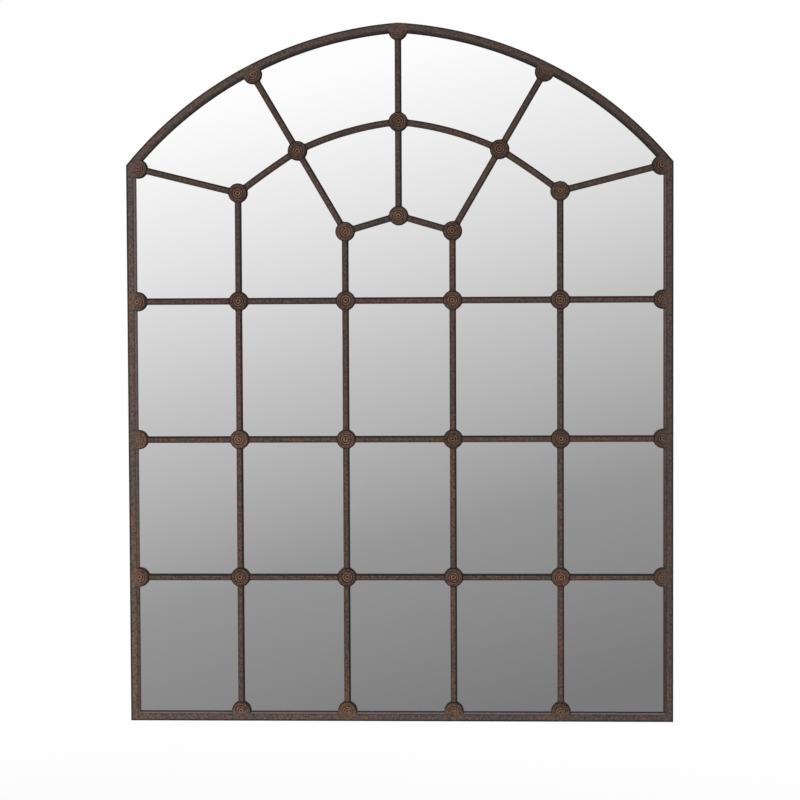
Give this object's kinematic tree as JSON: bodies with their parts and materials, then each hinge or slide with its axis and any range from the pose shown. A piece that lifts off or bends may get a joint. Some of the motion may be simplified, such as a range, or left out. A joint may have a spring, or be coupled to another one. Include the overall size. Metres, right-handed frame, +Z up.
{
  "type": "arched wall mirror",
  "caption": "Tall wall mirror with an iron window frame, arched head, glazing bars, rosettes at the joints and two hanging rings on the back",
  "frame": {"origin": "middle of the frame's bottom edge, on the plane of the frame's back", "axes": "+X to the right as seen from the front, +Y from the mirror's face to the wall, +Z up"},
  "size_m": [1.4, 0.033, 1.7922],
  "materials": {
    "frame_iron": "rusted brown, matt, mottled",
    "bar_iron": "rusted brown, matt, mottled",
    "rosette_iron": "rusted brown, matt, orange in the hollows",
    "mirror": "silvered glass",
    "tape": "matt foam tape",
    "board": "bare hardboard",
    "hardware_steel": "zinc plated",
    "ring_steel": "zinc plated"
  },
  "bodies": {
    "root": {"backing_board": "board", "bottom_rail": "frame_iron", "brace_bar": "hardware_steel", "crown_spoke": "bar_iron", "cushion_tape": "tape", "hanger_bar": "hardware_steel", "head_left": "frame_iron", "head_right": "frame_iron", "inner_arch_left": "bar_iron", "inner_arch_right": "bar_iron", "left_stile": "frame_iron", "middle_arch_crown_left": "bar_iron", "middle_arch_crown_right": "bar_iron", "middle_arch_haunch_left": "bar_iron", "middle_arch_haunch_right": "bar_iron", "mirror_glass": "mirror", "mullion_1": "bar_iron", "mullion_2": "bar_iron", "mullion_3": "bar_iron", "mullion_4": "bar_iron", "retaining_clips": "hardware_steel", "right_stile": "frame_iron", "ring_bracket_left": "hardware_steel", "ring_bracket_right": "hardware_steel", "rosettes_bottom_rail": "rosette_iron", "rosettes_head": "rosette_iron", "rosettes_inner_arch": "rosette_iron", "rosettes_left_stile": "rosette_iron", "rosettes_middle_arch": "rosette_iron", "rosettes_right_stile": "rosette_iron", "rosettes_springing": "rosette_iron", "rosettes_transom_1": "rosette_iron", "rosettes_transom_2": "rosette_iron", "rosettes_transom_3": "rosette_iron", "shoulder_spoke_left": "bar_iron", "shoulder_spoke_right": "bar_iron", "springing_spoke_left": "bar_iron", "springing_spoke_right": "bar_iron", "transom_1_bay_1": "bar_iron", "transom_1_bay_2": "bar_iron", "transom_1_bay_3": "bar_iron", "transom_1_bay_4": "bar_iron", "transom_1_bay_5": "bar_iron", "transom_2_bay_1": "bar_iron", "transom_2_bay_2": "bar_iron", "transom_2_bay_3": "bar_iron", "transom_2_bay_4": "bar_iron", "transom_2_bay_5": "bar_iron", "transom_3_bay_1": "bar_iron", "transom_3_bay_2": "bar_iron", "transom_3_bay_3": "bar_iron", "transom_3_bay_4": "bar_iron", "transom_3_bay_5": "bar_iron"},
    "left_ring": {"hanging_ring_left": "ring_steel"},
    "right_ring": {"hanging_ring_right": "ring_steel"}
  },
  "joints": [
    {"name": "left_ring_swing", "type": "hinge", "parent": "root", "child": "left_ring", "pos_m": [-0.45, -0.005, 1.25], "axis": [1, 0, 0], "range_deg": [0, 175]},
    {"name": "right_ring_swing", "type": "hinge", "parent": "root", "child": "right_ring", "pos_m": [0.45, -0.005, 1.25], "axis": [1, 0, 0], "range_deg": [0, 175]}
  ]
}
